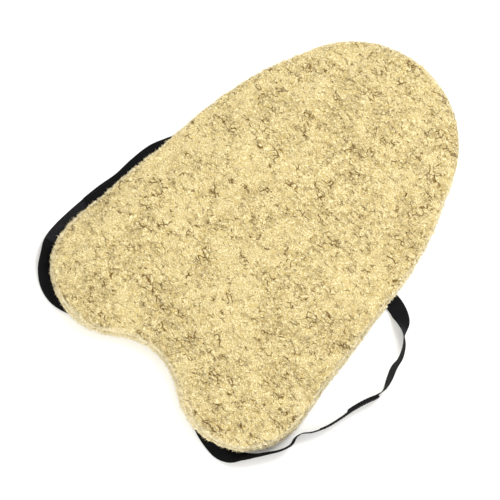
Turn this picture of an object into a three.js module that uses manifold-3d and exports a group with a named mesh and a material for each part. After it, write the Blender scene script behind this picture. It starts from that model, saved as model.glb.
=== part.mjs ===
// A fleece-covered foam saddle seat cushion in millimetres: +Z up, +Y towards the rounded rear,
// +X to the rider's right, origin on the resting face below the middle of the outline.
// Two webbing strap loops, each closed with hook-and-loop tape, run from the waist to the front lobe.
import * as THREE from "three";
import { mergeVertices } from "three/addons/utils/BufferGeometryUtils.js";
import Module from "manifold-3d";

const wasm = await Module();
wasm.setup();

// ---- Outline ----
const LENGTH = 470; // front of the lobes to the rear
const WIDTH = 340; // across the two lobes
const REAR_WIDTH = 235; // across the half-round rear
const LOBE_RADIUS = 75;
const NOTCH_DEPTH = 33; // how far the front dips in between the lobes
const REAR_ARC_START = 25; // degrees from +X, where each side leaves the rear arc
const LOBE_ARC_END = 8; // degrees from +X, where each side leaves the lobe arc
const REAR_HANDLE = 0.376; // side curve's pull at the rear and at the lobe, as shares of its chord
const LOBE_HANDLE = 0.629;

// ---- Heights and thicknesses ----
const HEIGHT = 32;
const BASE_THICKNESS = 1.6;
const FOAM_THICKNESS = 19;
const FOAM_LIFT = 0.7; // the foam's bottom, above a strap laid on the base
const BAND_LIFT = 1.8; // the side band's bottom, above the same
const FLEECE_DEPTH = 12; // backing, lining and pile, from the foam's side to the outline
const FLEECE_TOP_ROUND = 12;
const BASE_INSET = 10; // the pile stands out past the base panel by this
const SKIRT_BOTTOM = 17; // where the top fleece's rolled-over edge ends
const GAP = 0.3; // between neighbouring pieces
const WELD = 0.2; // how far joined shapes reach into each other

// ---- Facets ----
const NOTCH_STEPS = 4;
const LOBE_STEPS = 14;
const SIDE_STEPS = 12;
const REAR_STEPS = 18;
const TOP_ROUND_STEPS = 4;
const SECTOR_STEP = 7; // degrees
const PULL_ROUND_STEPS = 6;
const MEASURING_STEPS = 48; // along a side, where its width is read

// ---- Zip in the rear band ----
const BAND_END_SPAN = 0.2; // degrees between a rear band's end and the side band
const ZIP_SLOT = 8.1; // height of the slot that the zip shows in
const TAPE_THICKNESS = 0.8;
const COIL_DEPTH = 1.8;
const COIL_HEIGHT = 2;
const COIL_START = 31; // degrees round the rear arc from +X
const COIL_END = 141;
const STOP_SPAN = 1.2; // degrees
const SLIDER_HALF_SPAN = 3.2; // degrees
const SLIDER_END_SPAN = 0.3; // degrees between the closed slider and its stop
const SLIDER_HEIGHT = 6.9;
const SLIDER_PLATE = 1.2;
const SLIDER_CLEARANCE = 0.4;
const BRIDGE_WIDTH = 1.6;
const BRIDGE_OPENING = 3.6; // along the zip
const BRIDGE_HEAD = 2; // room under the bridge for the pull's bar
const BRIDGE_BAR = 1;
const PULL_LENGTH = 22;
const PULL_WIDTH = 6;
const PULL_THICKNESS = 1.2;
const PULL_EYE_LENGTH = 4;
const PULL_EYE_WIDTH = 3.2;

// ---- Straps ----
const STRAP_WIDTH = 19;
const STRAP_THICKNESS = 1;
const TAPE_WIDTH = 17; // hook and loop tapes
const TAPE_LAYER = 0.5;
const STRAP_GAP = 0.25; // between the layers of a closed strap
const STRAP_OVERLAP = 36; // of the two webbings, where the tapes hold
const STRAP_STEPS = 84;
const EXIT_Y = 18; // where the rear end of a strap leaves the side seam
const HINGE_FREE_GAP = 0.3; // free webbing and sewn end, each side of the line that the loop swings on
const HINGE_SEWN_GAP = 1;

// A route point is [place, out, height, roll]. Up to 1, place is the share of the way from the rear
// exit to the lobe's centre; above that it is degrees round the lobe, forward of its widest point.
// out is the distance outside the outline; roll 0 is flat, 90 on edge, 180 flat and turned over.
const RIGHT_STRAP = {
  side: 1,
  rearLayer: -1, // the rear webbing lies on the inside of the loop
  route: [
    [-0.008, -28, 3.7, 0],
    [-0.004, -17, 3.7, 0],
    [0, -6, 3.7, 0],
    [0.005, 5, 3.7, 3],
    [0.025, 16, 4.9, 14],
    [0.058, 26.5, 9.1, 46],
    [0.107, 35, 9.8, 86],
    [0.163, 43, 10.4, 100],
    [0.236, 48, 10.4, 108],
    [0.303, 48.4, 10.4, 114],
    [0.376, 52, 10.4, 112],
    [0.444, 54.6, 10.3, 101],
    [0.505, 51.6, 10.2, 95],
    [0.579, 44.5, 10.2, 94],
    [0.674, 37, 10.2, 94],
    [0.764, 31.5, 10.2, 95],
    [0.858, 24.5, 10.2, 96],
    [0.94, 15, 10.2, 97],
    [0.99, 7.5, 10.2, 99],
    [5, 5, 10.2, 101],
    [11, 8, 10.2, 103],
    [20, 7, 10.2, 105],
    [29, 4.8, 10.2, 108],
    [39, 4.2, 9.9, 112],
    [49.5, 4.4, 8.8, 128],
    [59, 4.9, 5.4, 160],
    [68, 3.2, 3.7, 180],
    [80, -3.2, 3.7, 180],
    [92.5, -9, 3.7, 180],
    [105, -14, 3.7, 180],
  ],
  hinge: { rearOut: -6, frontX: 29, frontY: -73 },
  rearReach: 186, // length of the rear webbing, from its sewn end
  hookLength: 38,
  loopLength: 72,
};
const LEFT_STRAP = {
  side: -1,
  rearLayer: 1, // the rear webbing lies on top
  route: [
    [-0.09, -20, 1, 0],
    [0.02, -15, 1, 0],
    [0.13, -9.5, 1, 0],
    [0.215, -3.5, 1, 0],
    [0.31, 2, 1, 0],
    [0.44, 2.9, 1.2, 0],
    [0.575, 1.4, 1.8, 0],
    [0.7, 3, 2.3, 0],
    [0.815, 3.2, 2.3, 0],
    [0.94, 2.4, 2.3, 0],
    [7.3, 3.2, 2.4, 0],
    [19, 4.7, 4.7, 14],
    [31, 4.7, 8.4, 42],
    [43, 4.7, 5, 16],
    [54.5, 3.9, 3.7, 0],
    [66, 0, 3.7, 0],
    [78, -7.5, 3.7, 0],
    [89, -16, 3.7, 0],
  ],
  hinge: { rearOut: 1, frontX: 42, frontY: -66 },
  rearReach: 170,
  hookLength: 38,
  loopLength: 94,
};

// ---- Worked out from the above ----
const degrees = THREE.MathUtils.degToRad;
const rearRadius = REAR_WIDTH / 2;
const rearCentreY = LENGTH / 2 - rearRadius;
const lobeX = WIDTH / 2 - LOBE_RADIUS;
const lobeY = -LENGTH / 2 + LOBE_RADIUS;
const notchY = -LENGTH / 2 + NOTCH_DEPTH;
const lobeToNotch = lobeY - notchY;
const notchRadius = (lobeX ** 2 + lobeToNotch ** 2 - LOBE_RADIUS ** 2) / (2 * (LOBE_RADIUS - lobeToNotch));
const notchCentreY = notchY - notchRadius;
const meetingAngle = Math.atan2(lobeY - notchCentreY, lobeX); // of the notch arc's end, from its centre
const strapTop = BASE_THICKNESS + STRAP_THICKNESS;
const foamBottom = strapTop + FOAM_LIFT;
const foamTop = foamBottom + FOAM_THICKNESS;
const bandBottom = strapTop + BAND_LIFT;
const bandTop = SKIRT_BOTTOM - GAP;
const zipMiddle = (bandBottom + bandTop) / 2;
const foamRearRadius = rearRadius - FLEECE_DEPTH;
const zipTapeRadius = foamRearRadius + GAP;
const coilRadius = zipTapeRadius + TAPE_THICKNESS + GAP;
const sliderRadius = coilRadius + COIL_DEPTH + SLIDER_CLEARANCE;
const bridgeRadius = sliderRadius + SLIDER_PLATE;
const pullRadius = bridgeRadius + BRIDGE_HEAD / 2;
const sliderAngle = COIL_START + SLIDER_HALF_SPAN + SLIDER_END_SPAN;
const bandStart = REAR_ARC_START + BAND_END_SPAN;
const webbingOffset = STRAP_GAP * 1.5 + TAPE_LAYER + STRAP_THICKNESS / 2;
const tapeOffset = (STRAP_GAP + TAPE_LAYER) / 2;

// ---- Materials ----
const standard = (color, roughness, metalness = 0) =>
  new THREE.MeshStandardMaterial({ color, roughness, metalness });
const fleece = standard(0xe4d099, 1);
const foam = standard(0xd9d4c4, 0.95);
const nonSlip = standard(0x262626, 0.9);
const webbing = standard(0x232325, 0.75);
const hookTape = standard(0x1d1d1f, 0.85);
const loopTape = standard(0x38383c, 0.95);
const zipTape = standard(0xcbbb8e, 0.85);
const zipCoil = standard(0xbcae86, 0.5);
const zipMetal = standard(0x9c9c9c, 0.35, 1);

// ---- Solids ----
function solidOf(geometry) {
  const bare = geometry.index ? geometry.toNonIndexed() : geometry.clone();
  bare.deleteAttribute("normal");
  bare.deleteAttribute("uv");
  const merged = mergeVertices(bare, 1e-4);
  const mesh = new wasm.Mesh({
    numProp: 3,
    vertProperties: merged.attributes.position.array,
    triVerts: new Uint32Array(merged.index.array),
  });
  return new wasm.Manifold(mesh);
}

function geometryOf(solid) {
  const mesh = solid.getMesh();
  const geometry = new THREE.BufferGeometry();
  geometry.setAttribute("position", new THREE.BufferAttribute(mesh.vertProperties, 3));
  geometry.setIndex(new THREE.BufferAttribute(mesh.triVerts, 1));
  return geometry;
}

function piece(name, geometry, material) {
  const mesh = new THREE.Mesh(geometry, material);
  mesh.name = name;
  return mesh;
}

function block(x0, x1, y0, y1, z0, z1) {
  const geometry = new THREE.BoxGeometry(x1 - x0, y1 - y0, z1 - z0);
  return geometry.translate((x0 + x1) / 2, (y0 + y1) / 2, (z0 + z1) / 2);
}

// A slab of a flat shape between two heights, with its corners left sharp.
function slab(shape, bottom, top) {
  const geometry = new THREE.ExtrudeGeometry(shape, { depth: top - bottom, bevelEnabled: false });
  return geometry.translate(0, 0, bottom);
}

// ---- Outline curves ----
function arcPoints(x, y, radius, from, to, steps) {
  const points = [];
  for (let i = 0; i <= steps; i++) {
    const angle = from + ((to - from) * i) / steps;
    points.push(new THREE.Vector2(x + radius * Math.cos(angle), y + radius * Math.sin(angle)));
  }
  return points;
}

// The right side's curve, from the lobe to the rear arc, moved inwards by inset.
function sidePoints(inset, steps) {
  const lobeAngle = degrees(LOBE_ARC_END);
  const rearAngle = degrees(REAR_ARC_START);
  const start = arcPoints(lobeX, lobeY, LOBE_RADIUS, lobeAngle, lobeAngle, 1)[0];
  const end = arcPoints(0, rearCentreY, rearRadius, rearAngle, rearAngle, 1)[0];
  const chord = start.distanceTo(end);
  const startPull = new THREE.Vector2(-Math.sin(lobeAngle), Math.cos(lobeAngle));
  const endPull = new THREE.Vector2(Math.sin(rearAngle), -Math.cos(rearAngle));
  const curve = new THREE.CubicBezierCurve(
    start,
    start.clone().addScaledVector(startPull, LOBE_HANDLE * chord),
    end.clone().addScaledVector(endPull, REAR_HANDLE * chord),
    end,
  );
  const points = [];
  for (let i = 0; i <= steps; i++) {
    const tangent = curve.getTangent(i / steps);
    const inward = new THREE.Vector2(-tangent.y, tangent.x);
    points.push(curve.getPoint(i / steps).addScaledVector(inward, inset));
  }
  return points;
}

// The right half from the notch's middle to the end of the side curve.
function frontHalf(inset) {
  const notch = arcPoints(0, notchCentreY, notchRadius + inset, Math.PI / 2, meetingAngle, NOTCH_STEPS);
  const lobeStart = meetingAngle - Math.PI;
  const lobeEnd = degrees(LOBE_ARC_END);
  const lobe = arcPoints(lobeX, lobeY, LOBE_RADIUS - inset, lobeStart, lobeEnd, LOBE_STEPS);
  return [...notch, ...lobe.slice(1), ...sidePoints(inset, SIDE_STEPS).slice(1)];
}

// The front and both sides, from the left end of the rear arc round to its right end.
function sideRun(inset) {
  const right = frontHalf(inset);
  const left = right.slice(1).reverse();
  return [...left.map((p) => new THREE.Vector2(-p.x, p.y)), ...right];
}

function rearRun(inset) {
  const from = degrees(REAR_ARC_START);
  return arcPoints(0, rearCentreY, rearRadius - inset, from, Math.PI - from, REAR_STEPS);
}

function outline(inset) {
  return new THREE.Shape([...sideRun(inset), ...rearRun(inset).slice(1, -1)]);
}

// Half the outline's width at a distance along it, behind the lobe's centre.
function halfWidthAt(y) {
  const points = sidePoints(0, MEASURING_STEPS);
  const next = points.findIndex((p) => p.y >= y);
  if (next <= 0) return next < 0 ? rearRadius : points[0].x;
  const a = points[next - 1];
  const b = points[next];
  return a.x + ((b.x - a.x) * (y - a.y)) / (b.y - a.y);
}

// ---- Cushion ----
function topFleece() {
  const straight = HEIGHT - FLEECE_TOP_ROUND - SKIRT_BOTTOM;
  const body = new THREE.ExtrudeGeometry(outline(0), {
    depth: straight,
    bevelThickness: FLEECE_TOP_ROUND,
    bevelSize: FLEECE_TOP_ROUND,
    bevelOffset: -FLEECE_TOP_ROUND,
    bevelSegments: TOP_ROUND_STEPS,
  });
  body.translate(0, 0, SKIRT_BOTTOM);
  const below = block(-WIDTH, WIDTH, -LENGTH, LENGTH, -HEIGHT, SKIRT_BOTTOM);
  const hollow = slab(outline(FLEECE_DEPTH - GAP), SKIRT_BOTTOM - 1, foamTop + GAP);
  return geometryOf(solidOf(body).subtract(solidOf(below)).subtract(solidOf(hollow)));
}

function sideBand() {
  const inner = sideRun(FLEECE_DEPTH - GAP).reverse();
  return slab(new THREE.Shape([...sideRun(0), ...inner]), bandBottom, bandTop);
}

// A piece of a ring about the rear arc's centre, between two radii, angles in degrees and heights.
function sector(inner, outer, from, to, bottom, top) {
  const steps = Math.max(1, Math.round((to - from) / SECTOR_STEP));
  const a = degrees(from);
  const b = degrees(to);
  const points = [...arcPoints(0, 0, outer, a, b, steps), ...arcPoints(0, 0, inner, b, a, steps)];
  return slab(new THREE.Shape(points), bottom, top);
}

function rearBands() {
  const end = 180 - bandStart;
  const slotBottom = zipMiddle - ZIP_SLOT / 2;
  const slotTop = zipMiddle + ZIP_SLOT / 2;
  const low = sector(coilRadius, rearRadius, bandStart, end, bandBottom, slotBottom);
  const high = sector(coilRadius, rearRadius, bandStart, end, slotTop, bandTop);
  return [piece("rear_band_lower", low, fleece), piece("rear_band_upper", high, fleece)];
}

// ---- Zip ----
function zipHalves() {
  const end = 180 - bandStart;
  const tapeEnd = zipTapeRadius + TAPE_THICKNESS;
  const coilEnd = coilRadius + COIL_DEPTH;
  const low = zipMiddle - GAP / 2;
  const high = zipMiddle + GAP / 2;
  const lowTape = sector(zipTapeRadius, tapeEnd, bandStart, end, bandBottom, low);
  const highTape = sector(zipTapeRadius, tapeEnd, bandStart, end, high, bandTop);
  const lowCoil = sector(coilRadius, coilEnd, COIL_START, COIL_END, low - COIL_HEIGHT, low);
  const highCoil = sector(coilRadius, coilEnd, COIL_START, COIL_END, high, high + COIL_HEIGHT);
  return [
    piece("zip_tape_lower", lowTape, zipTape),
    piece("zip_tape_upper", highTape, zipTape),
    piece("zip_coil_lower", lowCoil, zipCoil),
    piece("zip_coil_upper", highCoil, zipCoil),
  ];
}

function zipStops() {
  const bottom = zipMiddle - COIL_HEIGHT - GAP;
  const top = zipMiddle + COIL_HEIGHT + GAP;
  const outer = coilRadius + COIL_DEPTH + GAP;
  const closed = COIL_START - GAP;
  const open = COIL_END + GAP;
  return [
    piece("zip_stop_closed", sector(coilRadius, outer, closed - STOP_SPAN, closed, bottom, top), zipMetal),
    piece("zip_stop_open", sector(coilRadius, outer, open, open + STOP_SPAN, bottom, top), zipMetal),
  ];
}

// The slider's channel hooks over both coils, and its bridge holds the pull.
function zipSlider() {
  const span = SLIDER_HALF_SPAN;
  const half = SLIDER_HEIGHT / 2;
  const coilHalf = COIL_HEIGHT + GAP / 2 + SLIDER_CLEARANCE;
  const flangeRadius = coilRadius + GAP;
  const bridgeTop = bridgeRadius + BRIDGE_HEAD + BRIDGE_BAR;
  const legInner = THREE.MathUtils.radToDeg(BRIDGE_OPENING / 2 / pullRadius);
  const legOuter = THREE.MathUtils.radToDeg((BRIDGE_OPENING / 2 + BRIDGE_BAR) / pullRadius);
  const mid = zipMiddle;
  const width = BRIDGE_WIDTH / 2;
  const root = bridgeRadius - WELD;
  const parts = [
    sector(flangeRadius, sliderRadius + WELD, -span, span, mid + coilHalf, mid + half),
    sector(flangeRadius, sliderRadius + WELD, -span, span, mid - half, mid - coilHalf),
    sector(root, bridgeTop, legInner, legOuter, mid - width, mid + width),
    sector(root, bridgeTop, -legOuter, -legInner, mid - width, mid + width),
    sector(bridgeTop - BRIDGE_BAR, bridgeTop, -legOuter, legOuter, mid - width, mid + width),
  ];
  const plate = solidOf(sector(sliderRadius, bridgeRadius, -span, span, mid - half, mid + half));
  return geometryOf(parts.reduce((joined, part) => joined.add(solidOf(part)), plate));
}

// A flat tab with an eye; its bar, at the origin, turns in the slider's bridge.
function zipPull() {
  const half = PULL_WIDTH / 2;
  const bar = PULL_THICKNESS / 2;
  const tip = PULL_LENGTH - half;
  const shape = new THREE.Shape();
  shape.moveTo(-bar, -half);
  shape.lineTo(tip, -half);
  shape.absarc(tip, 0, half, -Math.PI / 2, Math.PI / 2, false);
  shape.lineTo(-bar, half);
  const eye = new THREE.Path();
  eye.moveTo(bar, -PULL_EYE_WIDTH / 2);
  eye.lineTo(bar, PULL_EYE_WIDTH / 2);
  eye.lineTo(bar + PULL_EYE_LENGTH, PULL_EYE_WIDTH / 2);
  eye.lineTo(bar + PULL_EYE_LENGTH, -PULL_EYE_WIDTH / 2);
  shape.holes.push(eye);
  const geometry = new THREE.ExtrudeGeometry(shape, {
    depth: PULL_THICKNESS,
    bevelEnabled: false,
    curveSegments: PULL_ROUND_STEPS,
  });
  geometry.translate(0, 0, -bar);
  return geometry.rotateX(Math.PI / 2).rotateZ(Math.PI / 2);
}

// ---- Straps ----
// The middle line of a closed strap, with its roll at each step.
function strapLine({ side, route }) {
  const places = route.map(([place, out, height]) => {
    if (place <= 1) {
      const y = EXIT_Y + (lobeY - EXIT_Y) * place;
      return new THREE.Vector3(side * (halfWidthAt(y) + out), y, height);
    }
    const radius = LOBE_RADIUS + out;
    const angle = degrees(-place);
    return new THREE.Vector3(
      side * (lobeX + radius * Math.cos(angle)),
      lobeY + radius * Math.sin(angle),
      height,
    );
  });
  const curve = new THREE.CatmullRomCurve3(places, false, "centripetal");
  const rolls = new THREE.CatmullRomCurve3(
    route.map(([, , , roll], i) => new THREE.Vector3(i, roll, 0)),
  );
  const steps = [];
  for (let i = 0; i <= STRAP_STEPS; i++) {
    const t = curve.getUtoTmapping(i / STRAP_STEPS);
    const tangent = curve.getTangent(t);
    const across = new THREE.Vector3(tangent.y, -tangent.x, 0).normalize();
    const up = across.clone().cross(tangent);
    const roll = degrees(rolls.getPoint(t).y);
    steps.push({
      at: curve.getPoint(t),
      width: across.clone().multiplyScalar(Math.cos(roll)).addScaledVector(up, Math.sin(roll)),
      face: up.clone().multiplyScalar(Math.cos(roll)).addScaledVector(across, -Math.sin(roll)),
    });
  }
  return { steps, length: curve.getLength() };
}

// A flat ribbon that follows the steps from one to another, on one layer of the strap.
function ribbon(steps, from, to, width, thickness, layer) {
  const geometry = new THREE.BoxGeometry(to - from, width, thickness, to - from, 2, 1);
  const position = geometry.attributes.position;
  const point = new THREE.Vector3();
  for (let i = 0; i < position.count; i++) {
    const step = steps[Math.round(position.getX(i) + (from + to) / 2)];
    point.copy(step.at);
    point.addScaledVector(step.width, -position.getY(i));
    point.addScaledVector(step.face, position.getZ(i) + layer);
    position.setXYZ(i, point.x, point.y, point.z);
  }
  return geometry;
}

// Everything on one side of the upright plane through the line that the loop swings on.
function halfSpace({ side, hinge }, sign, gap) {
  const rear = new THREE.Vector2(side * (halfWidthAt(EXIT_Y) + hinge.rearOut), EXIT_Y);
  const front = new THREE.Vector2(side * (lobeX + hinge.frontX), lobeY + hinge.frontY);
  const angle = Math.atan2(rear.y - front.y, rear.x - front.x);
  const outward = side > 0 ? -1 : 1; // the outboard side, in the plane's own frame
  const offset = outward * sign * (WIDTH + gap);
  const geometry = new THREE.BoxGeometry(4 * LENGTH, 2 * WIDTH, 4 * HEIGHT);
  geometry.translate(0, offset, 0).rotateZ(angle);
  return solidOf(geometry.translate(front.x, front.y, 0));
}

function strap(name, design) {
  const { steps, length } = strapLine(design);
  const stepAt = (distance) => Math.round((distance / length) * STRAP_STEPS);
  const rearEnd = stepAt(design.rearReach);
  const frontEnd = stepAt(design.rearReach - STRAP_OVERLAP);
  const rearSide = design.rearLayer * webbingOffset;
  const rear = solidOf(ribbon(steps, 0, rearEnd, STRAP_WIDTH, STRAP_THICKNESS, rearSide));
  const front = solidOf(ribbon(steps, frontEnd, STRAP_STEPS, STRAP_WIDTH, STRAP_THICKNESS, -rearSide));
  const free = halfSpace(design, 1, HINGE_FREE_GAP);
  const sewn = halfSpace(design, -1, HINGE_SEWN_GAP);
  const tapeSide = design.rearLayer * tapeOffset;
  const hookStart = rearEnd - stepAt(design.hookLength);
  const loopEnd = frontEnd + stepAt(design.loopLength);
  const hook = ribbon(steps, hookStart, rearEnd, TAPE_WIDTH, TAPE_LAYER, tapeSide);
  const loop = ribbon(steps, frontEnd, loopEnd, TAPE_WIDTH, TAPE_LAYER, -tapeSide);
  return [
    piece(name + "_rear_tab", geometryOf(rear.intersect(sewn)), webbing),
    piece(name + "_rear_webbing", geometryOf(rear.intersect(free)), webbing),
    piece(name + "_hook_tape", hook, hookTape),
    piece(name + "_loop_tape", loop, loopTape),
    piece(name + "_front_webbing", geometryOf(front.intersect(free)), webbing),
    piece(name + "_front_tab", geometryOf(front.intersect(sewn)), webbing),
  ];
}

// ---- Assembly ----
const group = new THREE.Group();
group.add(
  piece("base_panel", slab(outline(BASE_INSET), 0, BASE_THICKNESS), nonSlip),
  piece("foam_core", slab(outline(FLEECE_DEPTH), foamBottom, foamTop), foam),
  piece("top_fleece", topFleece(), fleece),
  piece("side_band", sideBand(), fleece),
  ...strap("right_strap", RIGHT_STRAP),
  ...strap("left_strap", LEFT_STRAP),
);

const rear = new THREE.Group();
rear.position.set(0, rearCentreY, 0);
rear.add(...rearBands(), ...zipHalves(), ...zipStops());
group.add(rear);

const carriage = new THREE.Group();
carriage.rotation.z = degrees(sliderAngle);
carriage.add(piece("zip_slider", zipSlider(), zipMetal));
const pull = piece("zip_pull", zipPull(), zipMetal);
pull.position.set(pullRadius, 0, zipMiddle);
carriage.add(pull);
rear.add(carriage);

export default group;
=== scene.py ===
"""A saddle seat cushion: sherpa fleece over foam, a zipped cover, and two webbing strap loops.

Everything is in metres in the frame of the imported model: +Z up, +Y towards the rounded rear.
"""

import logging
import math
from dataclasses import dataclass, field
from enum import Enum
from typing import Any, Callable, Iterable

import bpy
import numpy as np
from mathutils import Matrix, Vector, noise
from mathutils.bvhtree import BVHTree

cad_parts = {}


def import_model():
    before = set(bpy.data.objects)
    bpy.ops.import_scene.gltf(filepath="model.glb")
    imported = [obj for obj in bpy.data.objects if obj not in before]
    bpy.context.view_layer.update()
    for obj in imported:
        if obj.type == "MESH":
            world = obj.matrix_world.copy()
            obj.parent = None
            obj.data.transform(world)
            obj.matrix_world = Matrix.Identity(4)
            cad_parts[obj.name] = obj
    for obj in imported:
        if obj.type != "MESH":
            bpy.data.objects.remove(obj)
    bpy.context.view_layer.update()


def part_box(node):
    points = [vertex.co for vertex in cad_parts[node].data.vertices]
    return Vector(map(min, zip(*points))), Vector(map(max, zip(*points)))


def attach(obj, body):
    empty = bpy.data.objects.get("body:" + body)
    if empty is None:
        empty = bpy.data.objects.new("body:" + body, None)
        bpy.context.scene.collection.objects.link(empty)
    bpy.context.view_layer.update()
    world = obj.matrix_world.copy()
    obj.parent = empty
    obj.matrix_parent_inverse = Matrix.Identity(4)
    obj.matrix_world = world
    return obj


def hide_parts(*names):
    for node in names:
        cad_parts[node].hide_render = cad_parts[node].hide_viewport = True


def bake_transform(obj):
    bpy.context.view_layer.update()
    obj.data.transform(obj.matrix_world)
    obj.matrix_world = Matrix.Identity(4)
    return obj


log = logging.getLogger("cushion")
MM = 0.001


class Body(Enum):
    """The rigid bodies that pieces ride on."""

    CUSHION = "cushion"
    RIGHT_STRAP = "right_strap"
    LEFT_STRAP = "left_strap"
    ZIP_SLIDER = "zip_slider"
    ZIP_PULL = "zip_pull"


# ---------------------------------------------------------------------------- materials


def linear(hex_colour: str) -> tuple[float, float, float, float]:
    """Turns an sRGB colour into the linear values that a shader takes.

    Args:
        hex_colour: Six hex digits after a #.

    Returns:
        Red, green, blue and an alpha of 1.
    """
    channels = [int(hex_colour[i : i + 2], 16) / 255 for i in (1, 3, 5)]
    made = [c / 12.92 if c <= 0.04045 else ((c + 0.055) / 1.055) ** 2.4 for c in channels]
    return (made[0], made[1], made[2], 1.0)


def add(tree: bpy.types.NodeTree, kind: str, settings: dict[str, Any] | None = None, **links: Any) -> Any:
    """Adds a node with its settings, and links or sets its inputs.

    Args:
        tree: The material's node tree.
        kind: The node's type name, without ShaderNode.
        settings: Properties of the node itself.
        **links: Inputs by name with _ for a space, or in0, in1 by place. A socket is linked, a value is set.

    Returns:
        The node.
    """
    node = tree.nodes.new("ShaderNode" + kind)
    for key, value in (settings or {}).items():
        setattr(node, key, value)
    for key, value in links.items():
        by_place = key.startswith("in") and key[2:].isdigit()
        socket = node.inputs[int(key[2:])] if by_place else node.inputs[key.replace("_", " ")]
        if isinstance(value, bpy.types.NodeSocket):
            tree.links.new(value, socket)
        else:
            socket.default_value = value
    return node


@dataclass(frozen=True)
class Finish:
    """What every finish shares: its name, and a material that ends in a Principled shader."""

    name: str

    def material(self) -> bpy.types.Material:
        """Makes the material, or finds it where an earlier piece has made it."""
        found = bpy.data.materials.get(self.name)
        if found is not None:
            return found
        made = bpy.data.materials.new(self.name)
        made.use_nodes = True
        made.node_tree.nodes.clear()
        shader = self.shade(made.node_tree)
        add(made.node_tree, "OutputMaterial", None, Surface=shader.outputs[0])
        return made

    def shade(self, tree: bpy.types.NodeTree) -> Any:
        """Adds the finish's nodes and returns its shader node."""
        raise NotImplementedError

    def dress(self, piece: bpy.types.Object, slot: str | None = None) -> bpy.types.Object:
        """Gives a piece this finish alone.

        Args:
            piece: The mesh object.
            slot: Not used.

        Returns:
            The piece.
        """
        piece.data.materials.clear()
        piece.data.materials.append(self.material())
        return piece


def ramp(tree: bpy.types.NodeTree, value: Any, low: float, high: float, start: float = 0, end: float = 1) -> Any:
    """Maps a value smoothly from low..high to start..end and returns the result's socket."""
    settings = {"interpolation_type": "SMOOTHSTEP"}
    node = add(tree, "MapRange", settings, in0=value, in1=low, in2=high, in3=start, in4=end)
    return node.outputs[0]


def blend_colours(tree: bpy.types.NodeTree, share: Any, first: Any, second: Any) -> Any:
    """Mixes two colours by a share and returns the result's socket."""
    return add(tree, "Mix", {"data_type": "RGBA"}, in0=share, in6=first, in7=second).outputs[2]


def maths(tree: bpy.types.NodeTree, kind: str, first: Any, second: Any = 0.0) -> Any:
    """Adds a Math node and returns its socket."""
    return add(tree, "Math", {"operation": kind}, in0=first, in1=second).outputs[0]


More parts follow.
